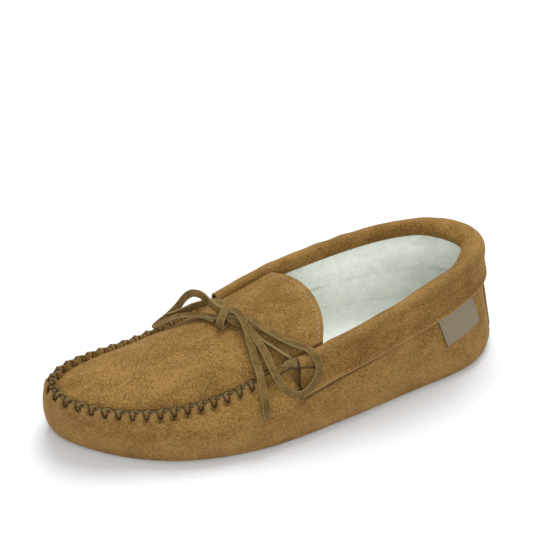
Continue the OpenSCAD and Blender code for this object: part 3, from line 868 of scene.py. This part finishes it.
under, _ = vamp_grid(drop=LEATHER + 0.5, inset=4.2, end=TONGUE_X - 3, raised=False, half=150, across=40)
under[..., 2] += 0.35 * noise(under, 4, 5.5)
under_faces, used = fold_faces(len(under), 150, flip=False)
points = under.reshape(-1, 3)[used]
lining = add("vamp_fleece", points, under_faces, None, [fleece_white],
             ["vamp_lining", "tongue_lining"], {"shade_and_lines": np.zeros(len(points))})
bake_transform(lining)
solidify(lining, 3.6)

# ---- Fleece of the sides and the insole --------------------------------------------------------

FLEECE, LINING_GAP = 5, 0.75
ROLL_W, ROLL_HEEL = 4.9, 5.2
WALL_ROUND, WALL_ROWS = 900, 90
wall_turn = TAU * np.arange(WALL_ROUND) / WALL_ROUND


def lining_ring(k, inner):
    behind = tucked(wall_turn)
    # Its top edge rises only where the cuff covers it
    u = along(wall_turn)
    covered = np.where(np.sin(wall_turn) >= 0, smooth(0.505, 0.54, u), smooth(0.437, 0.475, u))
    s = mix(-0.15, mix(0.45, 1, covered), k)
    d = LEATHER + LINING_GAP + 8 * behind * (1 - behind)
    thick = mix(FLEECE, 1.4 + (ROLL_HEEL - 0.3) * heel(wall_turn), behind * smooth(0.75, 0.95, s))
    return offset_wall(wall_turn, s, -d - (thick if inner else 0))


inner = np.stack([lining_ring(k, True) for k in np.linspace(0, 1, WALL_ROWS)])
outer = np.stack([lining_ring(k, False) for k in np.linspace(1, 0, 12)])
lumps = noise(inner, 5.5, 3.3) * 0.45 + noise(inner, 2.4, 8.1) * 0.3 + noise(inner, 16, 6.1) * 0.5
top_fade = (1 - smooth(0.8, 0.95, np.linspace(0, 1, WALL_ROWS)))[:, None]
inner_normal = unit(np.cross(np.roll(inner, -1, 1) - np.roll(inner, 1, 1), np.gradient(inner, axis=0)))
inner = inner - inner_normal * (lumps * mix(0.3, 1, top_fade))[..., None]
rings = np.concatenate([inner, outer])
faces = grid(len(rings), WALL_ROUND, wrap=True).tolist()
last = (len(rings) - 1) * WALL_ROUND
faces += [(last + j, last + (j + 1) % WALL_ROUND, (j + 1) % WALL_ROUND, j) for j in range(WALL_ROUND)]
# A seam in the lining runs round below the collar
share = np.linspace(0, 1, WALL_ROWS)[:, None]
seam_level = 0.62 + 0.012 * noise(inner, 26, 5.7)
seam = np.exp(-((share - seam_level) / 0.022) ** 2) * np.clip(0.22 + 0.5 * noise(inner, 11, 2.2), 0, 1)
# Painted shade in the heel corner and in the partings of the pile; the seam line is the lining's own darker
# seam
corner_shade = 0.42 * smooth(70, 125, inner[..., 0] + 10 * noise(inner, 12, 4.4))
corner_shade = corner_shade * (1 - 0.4 * smooth(0.5, 0.9, share))
partings = np.clip(-lumps * 0.3, 0, 0.3)
shade_and_lines = np.concatenate([np.clip(seam, 0, 1) + partings + corner_shade, np.zeros(outer.shape[:2])])
points = rings.reshape(-1, 3)
add("side_fleece", points, outwards(points, faces), "slipper", [fleece_white],
                  ["side_lining"], {"shade_and_lines": shade_and_lines})

PAD_T, GAP = 4.2, 0.25
z0 = LEATHER + PAD_T + 2 * GAP
sole_inset = LEATHER + FLEECE + LINING_GAP + 0.5
SOLE_ROUND = 400
sole_turn = TAU * np.arange(SOLE_ROUND) / SOLE_ROUND
TOP_RINGS, CURL = 60, 4.2
top = np.stack([bulge(sole_turn, z0 + FLEECE, sole_inset + d) for d in np.linspace(31, -0.6, TOP_RINGS)])
top[..., 2] += CURL * smooth(0.66, 1.05, np.linspace(0, 1, TOP_RINGS))[:, None]
top[..., 2] += 0.5 * noise(top, 5.5, 1.3) + 0.3 * noise(top, 2.4, 4.4) + 0.6 * noise(top, 24, 3)
flank = [bulge(sole_turn, z0 + FLEECE - 1.5, sole_inset + 0.4), bulge(sole_turn, z0, sole_inset + 1.6)]
points, faces = skin(np.concatenate([top, np.stack(flank)]))
insole = add("insole_fleece", points, faces, "slipper", [fleece_white], ["insole"],
             {"shade_and_lines": np.zeros(len(points))})

# ---- Cuff --------------------------------------------------------------------------------------

CUFF_K = 1.6
CUFF_ROWS = 620


def section(t, count=84):
    """Outer face of the cuff at each t, from the hem over the crest to the inner edge: (n, z) pairs."""
    d, o = flap_depth(t), flap_out(t)
    one = np.ones_like(t)
    w = ROLL_W + ROLL_HEEL * heel(t)
    n = np.stack([o, mix(5.5, o, 0.5), 5.5 * one, 4.9 * one, 4.9 * one, 4.4 * one, 3.2 * one, 1.2 * one,
                  -0.25 * w, -0.65 * w, -0.91 * w, -w, -0.99 * w], 0)
    z = np.stack([-d, -0.87 * d, -0.74 * d, -13.5 * one, -8 * one, -4.2 * one, -1.5 * one, -0.1 * one,
                  -0.1 * one, -1.4 * one, -3.8 * one, -6.2 * one, -8.4 * one], 0)
    at = np.linspace(0, 1, count)
    i = np.clip((at * (len(n) - 1)).astype(int), 0, len(n) - 2)
    f = (at * (len(n) - 1) - i)[:, None]

    def through(v):
        ext = np.concatenate([[2 * v[0] - v[1]], v, [2 * v[-1] - v[-2]]])
        a, b, c, e = ext[i], ext[i + 1], ext[i + 2], ext[i + 3]
        return b + 0.5 * f * (c - a + f * (2 * a - 5 * b + 4 * c - e + f * (3 * (b - c) + e - a)))

    return through(n), through(z)


cuff_turn = np.linspace(CUFF_T0, CUFF_T1, CUFF_ROWS)
N, Z = section(cuff_turn)
count = len(N)
place = on_crest(np.broadcast_to(cuff_turn, N.shape), N, Z)
du, dv = np.gradient(place, axis=1), np.gradient(place, axis=0)
face_out = unit(np.cross(du, dv))
if np.mean(face_out[count // 2, :, 2]) < 0:
    face_out = -face_out
row = np.arange(count)[:, None] / (count - 1)
puff = 0.55 * noise(place, 22, 5.1) + 0.4 * noise(place * [1, 1, 0.45], 8, 9.4)
groove = -0.22 * np.exp(-((Z + flap_depth(cuff_turn)[None] - 3.2) / 0.7) ** 2) * (row < 0.5)
# The roll over the foam ends in a soft valley, where the leather is sewn through
valley = -0.5 * np.exp(-((Z + 11.5) / 2.4) ** 2) * (row < 0.5)
hem = 0.1 * np.exp(-((Z + flap_depth(cuff_turn)[None] - 1.2) / 1.0) ** 2) * (row < 0.5)
lift = (puff * smooth(0.02, 0.12, row) * (1 - smooth(0.9, 1, row)) + groove + valley + hem)
place = place + face_out * lift[..., None]
inside = place - face_out * (CUFF_K - 0.15)
edge_low = (place[0] + inside[0]) / 2 + unit(place[0] - place[2]) * 0.35
edge_in = (place[-1] + inside[-1]) / 2 + unit(place[-1] - place[-3]) * 0.5
ring_points = np.concatenate([place, edge_in[None], inside[::-1], edge_low[None]], 0)
ring_points = ring_points.transpose(1, 0, 2)
points, faces = skin(ring_points)
# Painted highlight along the crest, paler raw edges at the hem and the inner edge, and painted shade over
# the inner face
crest_highlight = 0.3 * smooth(0.40, 0.5, row[:, 0]) * (1 - smooth(0.62, 0.75, row[:, 0]))
hem_edge = np.exp(-(np.arange(count) / 1.2) ** 2) * 1.6
raw_edges_and_highlights = np.concatenate([crest_highlight + hem_edge, [0], np.zeros(count), [1.5]])
shade_and_lines = np.concatenate([0 * row[:, 0], [0.3], np.full(count, 0.6), [0.0]])
values = {"raw_edges_and_highlights": np.broadcast_to(raw_edges_and_highlights, ring_points.shape[:2]),
          "shade_and_lines": np.broadcast_to(shade_and_lines, ring_points.shape[:2])}
cuff = add("cuff_suede", points, faces, "slipper", [suede_brown],
           ["cuff", "cuff_padding"], values)

# ---- Stitches ----------------------------------------------------------------------------------


def join(parts):
    """(points, faces) of several solids as one mesh."""
    points, faces, base = [], [], 0
    for p, f in parts:
        points.append(p)
        faces += [tuple(base + i for i in q) for q in f]
        base += len(p)
    return np.vstack(points), faces


def stitches(line, ups, long, gap, width):
    """Separate short stitches along a line, each sunk at both ends."""
    step = np.concatenate([[0], np.cumsum(np.linalg.norm(np.diff(line, axis=0), axis=1))])
    parts = []
    for a in np.arange(0, step[-1] - long, long + gap):
        at = np.linspace(a, a + long, 7)
        p = np.stack([np.interp(at, step, line[:, c]) for c in range(3)], -1)
        u = unit(np.stack([np.interp(at, step, ups[:, c]) for c in range(3)], -1))
        h = np.sin(np.linspace(0, np.pi, 7))[:, None]
        p = p + u * (0.35 * h - 0.15)
        rings, _ = strap(p, u, width * (0.75 + 0.25 * h[:, 0]), width, sides=8, power=1.0)
        parts.append(skin(rings))
    return join(parts)


stitch_at = int(np.argmin(np.abs(Z[:, 0] + flap_depth(cuff_turn)[0] - 3.2)))
row_line = place[stitch_at]
points, faces = stitches(row_line, face_out[stitch_at], 2.6, 0.9, 0.55)
add("cuff_stitches", points, faces, "slipper", [thread_tan], ["cuff_stitching"])

v = np.linspace(-0.93, 0.97, 240)
tx = TONGUE_X - 3.8 + TONGUE_SKEW * v + TONGUE_BOW * v ** 2
tt = angle_at(tx)
ya, yb = rim(TAU - tt, 5.8)[:, 1], rim(tt, 5.8)[:, 1]
ty = mix(ya, yb, (v + 1) / 2)
line = np.stack([tx, ty, vamp_height(tx, ty)], -1)
line[:, 2] += rumple(line) + 0.1
points, faces = stitches(line, np.tile([0, 0, 1.0], (240, 1)), 2.4, 1.5, 0.6)
add("tongue_stitches", points, faces, "tongue_flap", [thread_pale], ["tongue_stitching"])

THREAD_UP = [0.02, 0.01, 1.0]
# Gathering thread: out of a hole in the shell, over both edges, down to a hole in the plug, and back
thread = []
PATH = [(0.0, "hole"), (0.06, "out"), (0.15, "out_high"), (0.21, "top"), (0.27, "in_high"), (0.39, "in"),
        (0.5, "plug"), (0.61, "in"), (0.69, "in_high"), (0.74, "top"), (0.8, "out_high"), (0.92, "out")]


def seam_point(t, place_name):
    m = float(gather(np.array(t)))
    up = float(scallop(np.array(t)))
    t = np.array(t)
    spots = {"hole": (-1.3, -3.9, -1.3, -3.9), "out": (-2.1, -3.1, -2.1, -3.1),
             "out_high": (-0.7, -0.7, -0.4, -1.4), "top": (1.5, 0.5, 1.1, 0.2),
             "in_high": (3.6, -0.3, 2.9, 0.2), "in": (4.5, -1.7, 4.5, -1.3), "plug": (4.6, -3.2, 5.3, -3.0)}
    near_inset, near_dz, far_inset, far_dz = spots[place_name]
    k = float(far_side(np.array(t)))
    inset, dz = mix(near_inset, far_inset, k), mix(near_dz, far_dz, k)
    if place_name in ("out_high", "top", "in_high"):
        dz += up
    return rim(t, 0.0, dz) + crest_normal(t) * (m - inset)


for i in range(STITCHES):
    for share, spot in PATH:
        thread.append(seam_point(float(seam_angle(i + share)), spot))
thread.append(seam_point(float(seam_angle(STITCHES)), "hole"))
path, _ = resampled(thread, 0.5)
rings, _ = strap(path, np.tile(THREAD_UP, (len(path), 1)), 0.85, 0.8, sides=8, power=1.0)
points, faces = skin(rings)
# Painted shade: the thread is darkened where it is pulled down into its holes
drop = knot(RIM_HEIGHT, (points[:, 0] - RIM_TOE) / (RIM_HEEL - RIM_TOE)) - points[:, 2]
add("seam_thread", points, faces, "slipper", [thread_brown], ["vamp_stitching"],
    {"shade_and_lines": smooth(0.2, 3.2, drop)})

# The near end of the seam is left raw: a frayed tip of leather and the thread's loose end
tip_x = np.array([-12, -9, -6, -3, 0.5])
tip = rim(angle_at(tip_x), np.array([0.3, 0.2, -0.1, -0.4, 0.4]), np.array([-0.4, 0.4, 0.0, -1.4, -3.6]))
path, share = resampled(tip.tolist(), 0.6)
wide = np.interp(share, [0, 0.3, 0.75, 1], [2.0, 4.2, 5.2, 3.6]) * (1 + 0.15 * noise(path, 3, 4.6))
rings, _ = strap(path, np.tile([0, -0.6, 0.8], (len(path), 1)), wide, 1.3, curl=-0.3)
points, faces = skin(rings)
add("seam_tip_leather", points, faces, "slipper", [raw_edge])
end_t = angle_at(np.array([-14, -9, -4, 1, 5, 8]))
end = on_crest(end_t, np.array([1.2, 2.2, 3.6, 5.2, 5.9, 5.7]),
               np.array([-2.6, -1.6, -2.4, -4.2, -6.0, -8.2]))
path, _ = resampled(end.tolist(), 0.5)
rings, _ = strap(path, np.tile(THREAD_UP, (len(path), 1)), 0.8, 0.75, sides=8, power=1.0)
points, faces = skin(rings)
add("seam_thread_end", points, faces, "slipper", [thread_brown], (),
    {"shade_and_lines": np.full(len(points), 0.3)})

# ---- Label and heel strip ----------------------------------------------------------------------

LABEL_T0, LABEL_T1, LABEL_SKEW = math.radians(133.5), math.radians(152.3), math.radians(1.3)
LABEL_H, LABEL_T = 20.5, 0.55
LABEL_ROWS, LABEL_COLUMNS = 45, 57


def label_place(a, b, d):
    t = mix(LABEL_T0, LABEL_T1, a) + LABEL_SKEW * b
    z = rim(t)[..., 2] - flap_depth(t) - 0.8 - LABEL_H * b
    lo, hi = wall(t, 0.0 * t)[..., 2], wall(t, 0.0 * t + 0.8)[..., 2]
    return offset_wall(t, np.clip((z - lo) / (hi - lo), 0, 1) * 0.8, d)


A, B = np.meshgrid(np.linspace(0, 1, LABEL_COLUMNS), np.linspace(0, 1, LABEL_ROWS))
lift = 0.9 - 0.3 * np.exp(-(B / 0.2) ** 2) + 0.25 * np.sin(3.1 * A + 1.2) * B + 0.5 * B ** 2
points = label_place(A, B, lift)
border = np.maximum(np.exp(-((np.minimum(A, 1 - A) - 0.05) / 0.012) ** 2),
                    np.exp(-((np.minimum(B, 1 - B) - 0.07) / 0.016) ** 2))
label = add("label_tape", points, grid(LABEL_ROWS, LABEL_COLUMNS), "label_flap",
            [label_weave], ["label"], {"shade_and_lines": 0.25 * border})
solidify(label, LABEL_T)

STRIP_HALF, STRIP_T, STRIP_ROWS, STRIP_COLUMNS = np.radians(6.0), 1.1, 60, 15
SA, SS = np.meshgrid(np.linspace(-1, 1, STRIP_COLUMNS), np.linspace(-0.35, 0.62, STRIP_ROWS))
points = offset_wall(np.pi + STRIP_HALF * SA, SS, 1.25 - 0.9 * np.abs(SA) ** 6 + 0 * SS)
strip = add("heel_strip_suede", points, grid(STRIP_ROWS, STRIP_COLUMNS), "slipper",
            [suede_tan, raw_edge], ["heel_strip"], {"shade_and_lines": 0 * SA, "raw_edges_and_highlights": 0.3 * np.abs(SA)})
solidify(strip, STRIP_T, 1)

# ---- Foam pad, kept from the CAD ---------------------------------------------------------------

foam = Nodes("foam_grey")
cells = foam.noise(1.2, 4, 0.7)
FOAM_DARK, FOAM_LIGHT = (0.22, 0.22, 0.21), (0.36, 0.36, 0.34)
foam_grey = foam.done(foam.mix(cells, FOAM_DARK, FOAM_LIGHT), 0.9, foam.bump(cells, 0.4, 0.6))
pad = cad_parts["sole_pad"]
pad.data.materials.clear()
pad.data.materials.append(foam_grey)

# ---- Floor and light ---------------------------------------------------------------------------

plaster = Nodes("floor_paper")
tooth = plaster.noise(3, 3, 0.6)
PAPER_DARK, PAPER_LIGHT = (0.76, 0.77, 0.785), (0.78, 0.79, 0.805)
floor_paper = plaster.done(plaster.mix(tooth, PAPER_DARK, PAPER_LIGHT), 0.9, plaster.bump(tooth, 0.02, 0.2))
FLOOR, FLOOR_Z = 6.0, -0.0004
mesh = bpy.data.meshes.new("floor")
mesh.from_pydata([(-FLOOR, -FLOOR, FLOOR_Z), (FLOOR, -FLOOR, FLOOR_Z), (FLOOR, FLOOR, FLOOR_Z),
                  (-FLOOR, FLOOR, FLOOR_Z)], [], [(0, 1, 2, 3)])
mesh.materials.append(floor_paper)
floor = bpy.data.objects.new("floor", mesh)
bpy.context.scene.collection.objects.link(floor)

world = bpy.data.worlds.new("studio")
world.use_nodes = True
world.node_tree.nodes["Background"].inputs["Color"].default_value = (1, 1, 1, 1)
world.node_tree.nodes["Background"].inputs["Strength"].default_value = 0.70
bpy.context.scene.world = world


def softbox(name, place, aim, size, watts):
    lamp = bpy.data.lights.new(name, "AREA")
    lamp.energy, lamp.size = watts, size
    o = bpy.data.objects.new(name, lamp)
    o.location = place
    o.rotation_euler = (Vector(aim) - Vector(place)).to_track_quat("-Z", "Y").to_euler()
    bpy.context.scene.collection.objects.link(o)


softbox("key", (0.35, 0.6, 1.5), (0, 0, 0.03), 1.0, 22)
softbox("fill", (-0.3, -1.4, 1.0), (0.02, 0, 0.03), 1.2, 11.5)
bpy.context.scene.view_settings.view_transform = "Standard"
